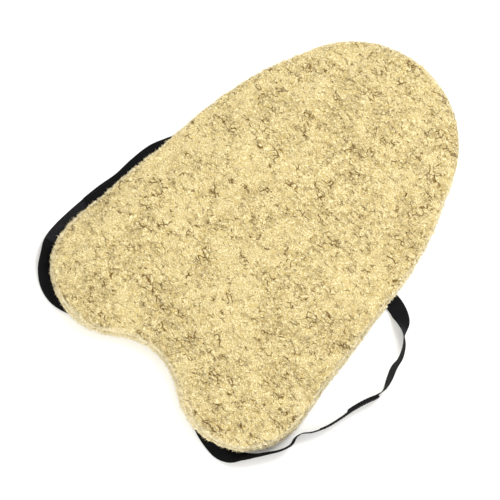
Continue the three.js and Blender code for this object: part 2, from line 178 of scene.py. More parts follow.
@dataclass(frozen=True)
class SherpaFleece(Finish):
    """Knitted polyester sherpa: curled, matt pile that parts into short dark creases."""

    # tip and body: random tone of the curls, partly painted light, the raised pile painted lighter than the lower
    # pile
    tip: str = "#ebddaf"
    body: str = "#b89e55"
    # root: painted shade, partly the pile's browner roots; creases, partings, gaps and the seam are darkened towards
    # it
    root: str = "#674300"
    rim_highlight_tip: str = "#fff6d8"  # painted highlight: the rolled edge is painted paler where its surface turns away from the lamps
    rim_highlight_body: str = "#e8d8a6"
    parting: tuple[float, float] = (8.8, 5.4)  # mm along and across the pile's lie, of a lock between partings
    crease: tuple[float, float] = (4.8, 3.3)  # mm, of a group of curls between creases
    nick: tuple[float, float] = (5.6, 2.0)  # mm, of the dark gap between two curls
    curl: float = 2.1  # mm
    fibre: float = 1.5  # mm; drawn many times coarser than a real fibre so that it shows

    def shade(self, tree: bpy.types.NodeTree) -> Any:
        """Partings, creases, curls and fibres, coloured by how deep in the pile they are: the dark creases are
        painted shade, the pale rolled edge a painted highlight, and the raised curls partly painted lighter.
        """
        place = add(tree, "TexCoord").outputs["Object"]
        mm = add(tree, "VectorMath", {"operation": "SCALE"}, in0=place, in3=1 / MM).outputs[0]
        pull = self.drift(tree, mm, 17, 8.0)
        pull = self.drift(tree, pull, 4.2, 1.0)
        pile, deep, rough, rim = (add(tree, "Attribute", {"attribute_name": name}).outputs["Fac"]
                                  for name in ("pile", "deep", "rough", "rim"))
        parting = self.cracks(tree, pull, self.parting, 0.11, rough, (0.54, 0.495))
        crease = self.cracks(tree, pull, self.crease, 0.13, rough, (0.57, 0.52))
        across = (1 / self.nick[0], 1 / self.nick[1], 1 / self.nick[1])
        nick = add(tree, "Mapping", None, Vector=pull, Scale=across).outputs[0]
        gap = ramp(tree, rough, 0.0, 0.9, 0.325, 0.345)
        nick = ramp(tree, maths(tree, "SUBTRACT", gap, self.noise(tree, nick, 1.0, 1.0)), -0.02, 0.05)
        # painted shade: the stored creases and seam groove, then each kind of gap, darken the pile towards the root
        # colour
        deep = maths(tree, "MULTIPLY", deep, 0.2)
        for gaps, strength in ((parting, 0.92), (crease, 0.8), (nick, 0.7)):
            deep = maths(tree, "MAXIMUM", deep, maths(tree, "MULTIPLY", gaps, strength))
        # the painted crease shade is weaker on the rolled edge
        deep = maths(tree, "MULTIPLY", deep, ramp(tree, rim, 0.1, 0.8, 1.0, 0.35))
        curl = ramp(tree, self.noise(tree, pull, self.curl, 1.0), 0.36, 0.64)
        fibre = ramp(tree, self.noise(tree, mm, self.fibre, 1.0), 0.4, 0.6)
        lift = maths(tree, "MULTIPLY", curl, 0.2)
        lift = maths(tree, "ADD", lift, maths(tree, "MULTIPLY", fibre, 0.68))
        lift = maths(tree, "ADD", lift, maths(tree, "MULTIPLY", pile, 0.06))
        calm = ramp(tree, rough, 0.0, 0.8, 0.85, 1.05)
        tone = maths(tree, "MULTIPLY_ADD", maths(tree, "SUBTRACT", lift, 0.5), calm)
        tone.node.inputs[2].default_value = 0.6
        # painted highlight: towards the rolled edge, by the rim share, the body and tip colours turn paler
        body = blend_colours(tree, rim, linear(self.body), linear(self.rim_highlight_body))
        tip = blend_colours(tree, rim, linear(self.tip), linear(self.rim_highlight_tip))
        # partly painted light: where the bump rises, the colour goes from body towards tip
        cream = blend_colours(tree, tone, body, tip)
        # painted shade: the colour falls towards the root colour by deep
        colour = blend_colours(tree, deep, cream, linear(self.root))
        height = maths(tree, "SUBTRACT", lift, maths(tree, "MULTIPLY", deep, 1.1))
        bump = add(tree, "Bump", None, Strength=1.0, Distance=1.1 * MM, Height=height)
        shader = add(tree, "BsdfPrincipled", None, Base_Color=colour, Normal=bump.outputs[0],
                     Roughness=ramp(tree, lift, 0, 1, 1.0, 0.88))
        shader.inputs["Sheen Weight"].default_value = 0.04
        shader.inputs["Sheen Roughness"].default_value = 0.6
        shader.inputs["Sheen Tint"].default_value = linear("#ffe9b4")
        shader.inputs["Specular IOR Level"].default_value = 0.05
        return shader

    def noise(self, tree: bpy.types.NodeTree, mm: Any, size: float, detail: float) -> Any:
        """A noise of one size in mm, from 0 to 1."""
        return add(tree, "TexNoise", None, Vector=mm, Scale=1 / size, Detail=detail, Roughness=0.65).outputs[0]

    def drift(self, tree: bpy.types.NodeTree, mm: Any, size: float, reach: float) -> Any:
        """Pulls places about by a noise, so that the pile wanders.

        Args:
            tree: The node tree.
            mm: Places in mm.
            size: The noise's size in mm.
            reach: How far it pulls, in mm.

        Returns:
            The pulled places' socket.
        """
        wander = add(tree, "TexNoise", None, Vector=mm, Scale=1 / size, Detail=2.0, Roughness=0.6)
        return add(tree, "VectorMath", {"operation": "MULTIPLY_ADD"},
                   in0=wander.outputs["Color"], in1=(reach,) * 3, in2=mm).outputs[0]

    def cracks(self, tree: bpy.types.NodeTree, mm: Any, size: tuple[float, float], width: float,
               rough: Any, open_from: tuple[float, float]) -> Any:
        """Thin branching lines between cells, broken up, and more of them where the pile is rough.

        Args:
            tree: The node tree.
            mm: Places in mm.
            size: Of a cell along and across the pile's lie, in mm.
            width: Of a line, as a share of a cell.
            rough: The socket that says how rough the pile is.
            open_from: The noise above which a line opens, where the pile is smooth and where it is rough.

        Returns:
            The socket, 1 in a line's middle.
        """
        lie = add(tree, "Mapping", None, Vector=mm, Rotation=(0.0, 0.0, math.radians(-6)),
                  Scale=(1 / size[0], 1 / size[1], 1 / size[1])).outputs[0]
        cells = add(tree, "TexVoronoi", {"feature": "DISTANCE_TO_EDGE"}, Vector=lie, Scale=1.0, Randomness=0.85)
        line = ramp(tree, cells.outputs["Distance"], width, 0.25 * width)
        wander = add(tree, "TexNoise", None, Vector=lie, Scale=0.62, Detail=2.0, Roughness=0.6).outputs[0]
        least = ramp(tree, rough, 0.0, 1.0, *open_from)
        opened = ramp(tree, maths(tree, "SUBTRACT", wander, least), 0.0, 0.16)
        return maths(tree, "MULTIPLY", line, opened)


@dataclass(frozen=True)
class WovenWebbing(Finish):
    """Woven polypropylene webbing: dull black warp cords across a plain weft, a little shiny."""

    dark: str = "#020203"
    light: str = "#131316"
    cord: float = 1.6  # mm between warp cords
    pick: float = 1.3  # mm between weft picks
    roughness: float = 0.62

    def shade(self, tree: bpy.types.NodeTree) -> Any:
        """The weave, from the ribbon's own length and width."""
        uv = add(tree, "UVMap", {"uv_map": "weave"}).outputs[0]
        parts = add(tree, "SeparateXYZ", None, in0=uv)
        along = maths(tree, "MULTIPLY", parts.outputs[0], math.tau / (self.pick * MM))
        across = maths(tree, "MULTIPLY", parts.outputs[1], math.tau / (self.cord * MM))
        row = maths(tree, "SINE", across)
        pick = maths(tree, "SINE", maths(tree, "ADD", along, maths(tree, "MULTIPLY", row, 1.6)))
        weave = ramp(tree, maths(tree, "ADD", row, maths(tree, "MULTIPLY", pick, 0.7)), -1.6, 1.6)
        place = add(tree, "TexCoord").outputs["Object"]
        dust = add(tree, "TexNoise", None, Vector=place, Scale=1 / (9 * MM), Detail=4.0, Roughness=0.6)
        share = maths(tree, "MULTIPLY", weave, ramp(tree, dust.outputs[0], 0.2, 0.8, 0.55, 1.0))
        colour = blend_colours(tree, share, linear(self.dark), linear(self.light))
        bump = add(tree, "Bump", None, Strength=0.8, Distance=0.3 * MM, Height=weave)
        shader = add(tree, "BsdfPrincipled", None, Base_Color=colour, Normal=bump.outputs[0],
                     Roughness=ramp(tree, weave, 0, 1, self.roughness + 0.2, self.roughness))
        shader.inputs["Specular IOR Level"].default_value = 0.1
        return shader


@dataclass(frozen=True)
class NappedTape(Finish):
    """Hook tape or napped loop tape: knitted nylon with a fine standing surface."""

    dark: str = "#101012"
    light: str = "#2d2c33"
    grain: float = 0.9  # mm between hooks or loops, drawn a little coarse

    def shade(self, tree: bpy.types.NodeTree) -> Any:
        """Small loops in rows that a noise breaks up."""
        place = add(tree, "TexCoord").outputs["Object"]
        loops = add(tree, "TexVoronoi", {"feature": "F1"}, Vector=place, Scale=1 / (self.grain * MM))
        nap = add(tree, "TexNoise", None, Vector=place, Scale=1 / (2.6 * MM), Detail=4.0, Roughness=0.7)
        share = maths(tree, "MULTIPLY", ramp(tree, loops.outputs[0], 0.75, 0.1), ramp(tree, nap.outputs[0], 0.2, 0.7))
        colour = blend_colours(tree, share, linear(self.dark), linear(self.light))
        bump = add(tree, "Bump", None, Strength=0.9, Distance=0.35 * MM, Height=share)
        shader = add(tree, "BsdfPrincipled", None, Base_Color=colour, Normal=bump.outputs[0],
                     Roughness=ramp(tree, share, 0, 1, 0.98, 0.85))
        shader.inputs["Sheen Weight"].default_value = 0.12
        shader.inputs["Sheen Roughness"].default_value = 0.5
        shader.inputs["Specular IOR Level"].default_value = 0.15
        return shader


@dataclass(frozen=True)
class DottedNonSlip(Finish):
    """Black polyester with soft vinyl dots printed on it in staggered rows."""

    cloth: str = "#1b1b1d"
    dot: str = "#2b2b2e"
    pitch: float = 5.0  # mm between dots
    radius: float = 1.1  # mm
    thread: float = 0.8  # mm, drawn coarse so that it shows

    def shade(self, tree: bpy.types.NodeTree) -> Any:
        """A canvas weave with raised dots."""
        place = add(tree, "TexCoord").outputs["Object"]
        grid = add(tree, "Mapping", None, Vector=place, Scale=(1 / (self.pitch * MM), 1 / (self.pitch * MM), 0.0))
        dots = add(tree, "TexVoronoi", {"feature": "F1"}, Vector=grid.outputs[0], Scale=1.0, Randomness=0.0)
        edge = self.radius / self.pitch
        dot = ramp(tree, dots.outputs[0], edge * 1.15, edge * 0.75)
        waves = add(tree, "Mapping", None, Vector=place, Scale=(1 / (self.thread * MM),) * 3)
        weave = add(tree, "TexVoronoi", {"feature": "F1"}, Vector=waves.outputs[0], Scale=1.0, Randomness=0.25)
        cloth = blend_colours(tree, weave.outputs[0], linear(self.dot), linear(self.cloth))
        colour = blend_colours(tree, dot, cloth, linear(self.dot))
        height = maths(tree, "ADD", dot, maths(tree, "MULTIPLY", weave.outputs[0], -0.25))
        bump = add(tree, "Bump", None, Strength=1.0, Distance=0.5 * MM, Height=height)
        return add(tree, "BsdfPrincipled", None, Base_Color=colour, Normal=bump.outputs[0],
                   Roughness=ramp(tree, dot, 0, 1, 0.92, 0.42))


@dataclass(frozen=True)
class OpenCellFoam(Finish):
    """Open-cell polyurethane foam: pale, matt, with fine pores."""

    skin: str = "#e3dcc6"
    pore: str = "#b5ab8d"
    cell: float = 1.4  # mm

    def shade(self, tree: bpy.types.NodeTree) -> Any:
        """Pores of one size."""
        place = add(tree, "TexCoord").outputs["Object"]
        cells = add(tree, "TexVoronoi", {"feature": "F1"}, Vector=place, Scale=1 / (self.cell * MM))
        share = ramp(tree, cells.outputs[0], 0.15, 0.6)
        colour = blend_colours(tree, share, linear(self.pore), linear(self.skin))
        bump = add(tree, "Bump", None, Strength=0.7, Distance=0.4 * MM, Height=share)
        return add(tree, "BsdfPrincipled", None, Base_Color=colour, Normal=bump.outputs[0],
                   Roughness=ramp(tree, share, 0, 1, 1.0, 0.9))


@dataclass(frozen=True)
class TwillTape(Finish):
    """Woven polyester zip tape: cream, in fine ribs."""

    rib: str = "#d8c893"
    groove: str = "#a8976a"
    pitch: float = 0.9  # mm

    def shade(self, tree: bpy.types.NodeTree) -> Any:
        """Ribs round the tape, broken by yarns."""
        place = add(tree, "TexCoord").outputs["Object"]
        parts = add(tree, "SeparateXYZ", None, in0=place)
        turns = maths(tree, "MULTIPLY", parts.outputs[2], math.tau / (self.pitch * MM))
        yarn = add(tree, "TexNoise", None, Vector=place, Scale=1 / (1.2 * MM), Detail=3.0, Roughness=0.6)
        wave = maths(tree, "ADD", maths(tree, "SINE", turns), yarn.outputs[0])
        share = ramp(tree, wave, -0.6, 1.4)
        colour = blend_colours(tree, share, linear(self.groove), linear(self.rib))
        bump = add(tree, "Bump", None, Strength=0.6, Distance=0.25 * MM, Height=share)
        return add(tree, "BsdfPrincipled", None, Base_Color=colour, Normal=bump.outputs[0],
                   Roughness=ramp(tree, share, 0, 1, 0.95, 0.8))


@dataclass(frozen=True)
class DrawnNylon(Finish):
    """Extruded nylon monofilament: cream, slightly glossy, smooth."""

    colour: str = "#cdbd8d"

    def shade(self, tree: bpy.types.NodeTree) -> Any:
        """An even colour with faint clouding."""
        place = add(tree, "TexCoord").outputs["Object"]
        cloud = add(tree, "TexNoise", None, Vector=place, Scale=1 / (4 * MM), Detail=2.0)
        share = ramp(tree, cloud.outputs[0], 0.3, 0.7)
        colour = blend_colours(tree, share, linear("#b5a573"), linear(self.colour))
        bump = add(tree, "Bump", None, Strength=0.15, Distance=0.05 * MM, Height=cloud.outputs[0])
        return add(tree, "BsdfPrincipled", None, Base_Color=colour, Normal=bump.outputs[0],
                   Roughness=ramp(tree, share, 0, 1, 0.45, 0.34))


@dataclass(frozen=True)
class NickelPlatedZinc(Finish):
    """Die-cast zinc with a tumbled nickel plating: soft shine, fine scuffs."""

    colour: str = "#b9b7b2"
    scuff: float = 0.6  # mm

    def shade(self, tree: bpy.types.NodeTree) -> Any:
        """Metal whose roughness varies with the tumbling marks."""
        place = add(tree, "TexCoord").outputs["Object"]
        marks = add(tree, "TexNoise", None, Vector=place, Scale=1 / (self.scuff * MM), Detail=5.0, Roughness=0.7)
        share = ramp(tree, marks.outputs[0], 0.3, 0.75)
        colour = blend_colours(tree, share, linear("#8f8d88"), linear(self.colour))
        bump = add(tree, "Bump", None, Strength=0.25, Distance=0.05 * MM, Height=marks.outputs[0])
        shader = add(tree, "BsdfPrincipled", None, Base_Color=colour, Normal=bump.outputs[0],
                     Roughness=ramp(tree, share, 0, 1, 0.42, 0.24))
        shader.inputs["Metallic"].default_value = 1.0
        return shader


@dataclass(frozen=True)
class SpunThread(Finish):
    """Spun polyester sewing thread: two twisted plies, matt."""

    colour: str = "#19191b"
    ply: float = 0.5  # mm

    def shade(self, tree: bpy.types.NodeTree) -> Any:
        """Fine slanting plies."""
        place = add(tree, "TexCoord").outputs["Object"]
        twist = add(tree, "TexNoise", None, Vector=place, Scale=1 / (self.ply * MM), Detail=2.0)
        share = ramp(tree, twist.outputs[0], 0.3, 0.7)
        colour = blend_colours(tree, share, linear("#0c0c0d"), linear(self.colour))
        bump = add(tree, "Bump", None, Strength=0.5, Distance=0.1 * MM, Height=share)
        return add(tree, "BsdfPrincipled", None, Base_Color=colour, Normal=bump.outputs[0],
                   Roughness=ramp(tree, share, 0, 1, 0.8, 0.65))


@dataclass(frozen=True)
class PaperFloor(Finish):
    """A plain studio paper sweep, almost white."""

    colour: str = "#fbfbfa"

    def shade(self, tree: bpy.types.NodeTree) -> Any:
        """Even and matt."""
        return add(tree, "BsdfPrincipled", None, Base_Color=linear(self.colour), Roughness=0.95)


FLEECE = SherpaFleece("knitted_sherpa_fleece")
WEBBING = WovenWebbing("woven_polypropylene_webbing")
HOOK = NappedTape("moulded_nylon_hook_tape", dark="#131315", light="#2c2c30", grain=1.1)
LOOP = NappedTape("knitted_nylon_loop_tape")
NON_SLIP = DottedNonSlip("dotted_non_slip_polyester")
FOAM = OpenCellFoam("open_cell_polyurethane_foam")
ZIP_TAPE = TwillTape("woven_polyester_zip_tape")
COIL = DrawnNylon("extruded_nylon_coil")
METAL = NickelPlatedZinc("nickel_plated_die_cast_zinc")
THREAD = SpunThread("spun_polyester_thread")


# ---------------------------------------------------------------------------- modelling helpers


def select_only(piece: bpy.types.Object) -> None:
    """Leaves one object selected and active."""
    bpy.ops.object.select_all(action="DESELECT")
    piece.select_set(True)
    bpy.context.view_layer.objects.active = piece


def points_of(piece: bpy.types.Object) -> np.ndarray:
    """A mesh's vertices as an N by 3 array."""
    flat = np.empty(len(piece.data.vertices) * 3)
    piece.data.vertices.foreach_get("co", flat)
    return flat.reshape(-1, 3)


def normals_of(piece: bpy.types.Object) -> np.ndarray:
    """A mesh's vertex normals as an N by 3 array."""
    flat = np.empty(len(piece.data.vertices) * 3)
    piece.data.vertices.foreach_get("normal", flat)
    return flat.reshape(-1, 3)


def move_points(piece: bpy.types.Object, points: np.ndarray) -> None:
    """Puts a mesh's vertices at these points."""
    piece.data.vertices.foreach_set("co", points.astype(np.float32).ravel())
    piece.data.update()


def edit_faces(piece: bpy.types.Object, chosen: Callable[[bpy.types.MeshPolygon], bool]) -> None:
    """Opens a piece in edit mode with only the chosen faces selected.

    Args:
        piece: The mesh object.
        chosen: Says whether a face is one of them.
    """
    select_only(piece)
    bpy.ops.object.mode_set(mode="EDIT")
    bpy.ops.mesh.select_mode(type="FACE")
    bpy.ops.mesh.select_all(action="DESELECT")
    bpy.ops.object.mode_set(mode="OBJECT")
    for polygon in piece.data.polygons:
        polygon.select = chosen(polygon)
    bpy.ops.object.mode_set(mode="EDIT")


def apply_modifier(piece: bpy.types.Object, kind: str, **settings: Any) -> None:
    """Adds a modifier with its settings, and applies it.

    Args:
        piece: The mesh object.
        kind: The modifier's type.
        **settings: Its properties.
    """
    modifier = piece.modifiers.new(kind.lower(), kind)
    for key, value in settings.items():
        setattr(modifier, key, value)
    select_only(piece)
    bpy.ops.object.modifier_apply(modifier=modifier.name)


def merged_copy(node: str, name: str) -> bpy.types.Object:
    """Copies a CAD node's mesh as a new piece, with its loose triangles merged into flat faces.

    Args:
        node: The CAD node.
        name: The new piece's name.

    Returns:
        The new object, at the origin.
    """
    piece = bpy.data.objects.new(name, bpy.data.objects[node].data.copy())
    bpy.context.scene.collection.objects.link(piece)
    select_only(piece)
    bpy.ops.object.mode_set(mode="EDIT")
    bpy.ops.mesh.select_all(action="SELECT")
    bpy.ops.mesh.remove_doubles(threshold=0.01 * MM)
    bpy.ops.mesh.dissolve_limited(angle_limit=math.radians(0.5))
    bpy.ops.object.mode_set(mode="OBJECT")
    return piece


def rounded_copy(node: str, name: str, radius: float, segments: int = 2) -> bpy.types.Object:
    """Copies a CAD node with its edges rounded.

    Args:
        node: The CAD node.
        name: The new piece's name.
        radius: The edges' radius in mm.
        segments: Faces round each edge.

    Returns:
        The new object, smooth shaded.
    """
    piece = merged_copy(node, name)
    apply_modifier(piece, "BEVEL", width=radius * MM, segments=segments, limit_method="ANGLE",
                   angle_limit=math.radians(35))
    smooth(piece, 40)
    return piece


def smooth(piece: bpy.types.Object, angle: float = 60) -> None:
    """Shades a piece smooth, with edges sharper than the angle left sharp."""
    select_only(piece)
    bpy.ops.object.shade_smooth_by_angle(angle=math.radians(angle))


def mesh_piece(name: str, points: Iterable[Any], faces: Iterable[Any]) -> bpy.types.Object:
    """Makes an object from points in metres and faces."""
    mesh = bpy.data.meshes.new(name)
    mesh.from_pydata([tuple(p) for p in points], [], [tuple(f) for f in faces])
    mesh.update()
    piece = bpy.data.objects.new(name, mesh)
    bpy.context.scene.collection.objects.link(piece)
    return piece


def spun_piece(name: str, centre: Vector, section: list[tuple[float, float]], start: float, end: float,
               steps: int) -> bpy.types.Object:
    """Spins an upright section about a vertical axis into a closed curved bar.

    Args:
        name: The piece's name.
        centre: A point of the axis, in metres.
        section: (radius, height) corners in mm, in order round the section.
        start: Where the bar starts, in degrees from +X.
        end: Where it ends.
        steps: Faces along it.

    Returns:
        The new object, with its normals outwards.
    """
    angle = math.radians(start)
    ring = [(centre.x + r * MM * math.cos(angle), centre.y + r * MM * math.sin(angle), h * MM) for r, h in section]
    piece = mesh_piece(name, ring, [range(len(ring))])
    select_only(piece)
    bpy.ops.object.mode_set(mode="EDIT")
    bpy.ops.mesh.select_all(action="SELECT")
    bpy.ops.mesh.spin(steps=steps, angle=math.radians(end - start), center=centre, axis=(0, 0, 1))
    bpy.ops.object.mode_set(mode="OBJECT")
    if not is_closed(piece):
        close_start(piece, len(ring))
    select_only(piece)
    bpy.ops.object.mode_set(mode="EDIT")
    bpy.ops.mesh.select_all(action="SELECT")
    bpy.ops.mesh.remove_doubles(threshold=0.001 * MM)
    bpy.ops.mesh.normals_make_consistent(inside=False)
    bpy.ops.object.mode_set(mode="OBJECT")
    return piece


def is_closed(piece: bpy.types.Object) -> bool:
    """True if every edge of the mesh has two faces."""
    edges: dict[Any, int] = {}
    for polygon in piece.data.polygons:
        for key in polygon.edge_keys:
            edges[key] = edges.get(key, 0) + 1
    return all(count == 2 for count in edges.values())


def close_start(piece: bpy.types.Object, corners: int) -> None:
    """Fills the open ends of a spun bar."""
    select_only(piece)
    bpy.ops.object.mode_set(mode="EDIT")
    bpy.ops.mesh.select_all(action="DESELECT")
    bpy.ops.mesh.select_mode(type="EDGE")
    bpy.ops.mesh.select_non_manifold()
    bpy.ops.mesh.fill_holes(sides=corners)
    bpy.ops.mesh.select_mode(type="VERT")
    bpy.ops.object.mode_set(mode="OBJECT")


def joined_copies(name: str, pattern: bpy.types.Object, places: list[Callable[[np.ndarray], np.ndarray]]) -> Any:
    """Repeats a small pattern piece into one mesh, and removes the pattern.

    Args:
        name: The new piece's name.
        pattern: The piece to repeat, modelled about the origin.
        places: For each copy, a function that moves the pattern's points into place.

    Returns:
        The new object.
    """
    base = points_of(pattern)
    polygons = [list(p.vertices) for p in pattern.data.polygons]
    points = np.concatenate([place(base) for place in places])
    faces = [[v + i * len(base) for v in p] for i in range(len(places)) for p in polygons]
    bpy.data.objects.remove(pattern)
    piece = mesh_piece(name, points, faces)
    smooth(piece, 50)
    return piece


# ---------------------------------------------------------------------------- fleece cushion


def store_shares(piece: bpy.types.Object, **shares: np.ndarray) -> None:
    """Stores a number from 0 to 1 at each point, under each name, for the finish to read."""
    for name, values in shares.items():
        attribute = piece.data.attributes.new(name, "FLOAT", "POINT")
        attribute.data.foreach_set("value", values.astype(np.float32))


def smoothstep(values: np.ndarray, low: float, high: float) -> np.ndarray:
    """A smooth 0 to 1 between low and high."""
    t = np.clip((values - low) / (high - low), 0, 1)
    return t * t * (3 - 2 * t)


@dataclass
class Pile:
    """The curled pile of the fleece, as a height above the cloth."""

    lock: tuple[float, float] = (7.4, 4.8)  # mm along and across the lie, of one lock
    lump: float = 1.0  # mm, of the broad lumps
    dome: float = 1.8  # mm, of a lock's rounding
    curl: float = 1.2  # mm, of the single curls
    crease: float = 1.9  # mm, how deep the pile parts
    swell: float = 1.3  # mm, of the cover's slow waves
    lie: float = math.radians(8)  # the direction the pile lies in, from X

    def at(self, x: float, y: float, z: float) -> tuple[float, float, float, float]:
        """The pile's height, fullness, creases and roughness at a place.

        Args:
            x: In mm, as y and z.
            y: Towards the rear.
            z: Up.

        Returns:
            Height in mm about the mean, then from 0 to 1: fullness, how deep in a crease, and roughness.
        """
        drift = noise.noise_vector((x / 17, y / 17, z / 17)) * 5.0
        u = (x * math.cos(self.lie) + y * math.sin(self.lie)) + drift.x
        v = (y * math.cos(self.lie) - x * math.sin(self.lie)) + drift.y
        w = z + drift.z
        rough = 0.52 + 1.0 * noise.noise((x / 34, y / 34, 3.7)) + 0.5 * noise.noise((x / 13, y / 13, 8.1))
        rough = min(1.0, max(0.0, rough + 0.0012 * x))
        lump = noise.noise((u / 13, v / 8.5, w / 8.5))
        curl = noise.noise((u / 3.9, v / 3.0, w / 3.0 + 9))
        near = noise.voronoi((u / self.lock[0], v / self.lock[1], w / self.lock[1]))[0]
        opened = min(1.0, max(0.0, rough * 0.9 - 0.1 + 2.2 * noise.noise((u / 8, v / 6, w / 6 + 30))))
        crease = max(0.0, 1 - (near[1] - near[0]) / 0.3) * opened
        dome = 0.45 - min(0.9, near[0])
        height = self.swell * noise.noise((x / 52, y / 52, 1.3))
        height += (0.45 + 0.55 * rough) * (self.lump * lump + self.dome * dome + self.curl * curl)
        height -= self.crease * crease
        fullness = 0.55 + 0.45 * lump + 0.4 * dome + 0.4 * curl
        return height, min(1.0, max(0.0, fullness)), crease, rough


@dataclass
class Cushion:
    """The foam pad in its fleece cover, with its base panel."""

    outline: "Outline"
    body: Body = Body.CUSHION
    voxel: float = 4.6  # mm, of the mesh that the simulation swells
    start_share: float = 0.86  # of the top's height, before it swells
    pressure: float = 4.0
    frames: int = 20
    most_move: float = 6.0  # mm that the simulation may move a point
    levels: int = 2
    cloth_clear: float = 1.2  # mm from the foam within which the fleece has no pile
    rim_inset: float = 1.3  # mm that the cloth lies inside the pile's outer edge
    seam_inset: float = 15.0  # mm in from the edge, of the seam that shows at the rear right
    seam_depth: float = 2.0  # mm
    pile: Pile = field(default_factory=Pile)

    def build(self) -> list[bpy.types.Object]:
        """Builds and dresses every piece of the cushion."""
        self.foam_low, self.foam_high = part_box("foam_core")
        self.foam_tree = self.tree_of("foam_core")
        top = self.top()
        bands = self.bands()
        fringe = [Fringe(self.body).grow(piece) for piece in (top, bands[0])]
        return [top, *bands, *fringe, self.foam(), self.base(), self.base_seam()]

    def tree_of(self, node: str) -> BVHTree:
        """A search tree of a CAD node's surface."""
        mesh = bpy.data.objects[node].data
        return BVHTree.FromPolygons([v.co for v in mesh.vertices], [p.vertices for p in mesh.polygons])

    def top(self) -> bpy.types.Object:
        """The top fleece: a crowned pillow with its edge rolled over, hollow over the foam."""
        piece = merged_copy("top_fleece", "fleece_top")
        low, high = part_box("top_fleece")
        self.fill_underside(piece, low.z, self.foam_high.z)
        apply_modifier(piece, "REMESH", mode="VOXEL", voxel_size=self.voxel * MM)
        points = points_of(piece)
        points[:, 2] = low.z + (points[:, 2] - low.z) * self.start_share
        move_points(piece, points)
        self.swell(piece, low.z)
        apply_modifier(piece, "SUBSURF", levels=self.levels, render_levels=self.levels)
        self.hollow(piece)
        self.grow_pile(piece)
        FLEECE.dress(piece, "fleece")
        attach(piece, self.body.value)
        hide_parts("top_fleece")
        return piece

    def fill_underside(self, piece: bpy.types.Object, bottom: float, cavity: float) -> None:
        """Takes the hollow out of the top fleece's underside and closes it flat."""
        slack = 0.6 * MM

        def hidden(polygon: bpy.types.MeshPolygon) -> bool:
            """True for a face of the hollow or of the underside round it."""
            heights = [piece.data.vertices[v].co.z for v in polygon.vertices]
            return max(heights) < bottom + 0.05 * MM or any(abs(h - cavity) < slack for h in heights)

        edit_faces(piece, hidden)
        bpy.ops.mesh.delete(type="FACE")
        bpy.ops.mesh.select_mode(type="EDGE")
        bpy.ops.mesh.select_non_manifold()
        bpy.ops.mesh.edge_face_add()
        bpy.ops.mesh.select_all(action="SELECT")
        bpy.ops.mesh.normals_make_consistent(inside=False)
        bpy.ops.mesh.select_mode(type="VERT")
        bpy.ops.object.mode_set(mode="OBJECT")

    def swell(self, piece: bpy.types.Object, bottom: float) -> None:
        """Lets air pressure round the cover, with its sewn underside held.

        Args:
            piece: The cover.
            bottom: The height of the held underside.
        """
        before = points_of(piece)
        held = piece.vertex_groups.new(name="sewn")
        held.add([i for i, p in enumerate(before) if p[2] < bottom + 1.5 * MM], 1.0, "ADD")
        cloth = piece.modifiers.new("cover", "CLOTH")
        cloth.settings.use_pressure = True
        cloth.settings.uniform_pressure_force = self.pressure
        cloth.settings.vertex_group_mass = "sewn"
        cloth.settings.effector_weights.gravity = 0
        for frame in range(1, self.frames + 1):
            bpy.context.scene.frame_set(frame)
        select_only(piece)
        bpy.ops.object.modifier_apply(modifier=cloth.name)
        bpy.context.scene.frame_set(1)
        moved = points_of(piece) - before
        length = np.linalg.norm(moved, axis=1, keepdims=True)
        log.info("cover swells by up to %.1f mm", length.max() / MM)
        scale = np.minimum(1, self.most_move * MM / np.maximum(length, 1e-9))
        move_points(piece, before + moved * scale)

    def hollow(self, piece: bpy.types.Object) -> None:
        """Cuts the room for the foam out of the underside."""
        cutter = merged_copy("foam_core", "foam_room")
        points = points_of(cutter)
        middle = (self.foam_low + self.foam_high) / 2
        for axis in range(3):
            half = (self.foam_high[axis] - self.foam_low[axis]) / 2
            grow = (half + 0.3 * MM) / half
            points[:, axis] = middle[axis] + (points[:, axis] - middle[axis]) * grow
        move_points(cutter, points)
        apply_modifier(piece, "BOOLEAN", object=cutter, operation="DIFFERENCE", solver="MANIFOLD")
        bpy.data.objects.remove(cutter)

    def grow_pile(self, piece: bpy.types.Object, share: float = 1.0, floor: float = 0.4) -> None:
        """Raises the pile off the cloth's outer side, and stores how full it is.

        Args:
            piece: The fleece piece.
            share: Of the pile's whole height.
            floor: The lowest that the pile may reach, in mm.
        """
        points, normals = points_of(piece), normals_of(piece)
        height, full, crease, rough = np.array([self.pile.at(*(p / MM)) for p in points]).T
        clear = np.array([self.foam_tree.find_nearest(p)[3] for p in points])
        exposed = smoothstep(clear, self.cloth_clear * MM, 4 * self.cloth_clear * MM)
        exposed *= 1 - 0.85 * smoothstep(-normals[:, 2], 0.3, 0.8)
        rim = 1 - smoothstep(normals[:, 2], 0.4, 0.985)
        seam = self.seam_at(points)
        raised = height * share * (1 + 0.6 * rim) - self.rim_inset * rim - self.seam_depth * seam
        points += normals * (raised * exposed * MM)[:, None]
        points[:, 2] = np.maximum(points[:, 2], floor * MM)
        move_points(piece, points)
        # deep marks the creases and the seam groove, which the fleece darkens as painted shade; rim marks the rolled
        # edge, which it paints pale as a painted highlight
        store_shares(piece, pile=full, deep=np.maximum(crease, seam), rough=rough * (1 - 0.6 * rim), rim=rim)
        smooth(piece, 180)

    def seam_at(self, points: np.ndarray) -> np.ndarray:
        """How deep a place lies in the seam that shows along the rear right edge, from 0 to 1."""
        x, y = points[:, 0] / MM, points[:, 1] / MM
        line = np.array([self.outline.half_width(v) - self.seam_inset for v in y])
        across = (x - line - 2.0 * np.sin(y / 9)) / 1.7
        return np.exp(-(across**2)) * smoothstep(y, 5, 40) * (1 - smoothstep(y, 120, 160))

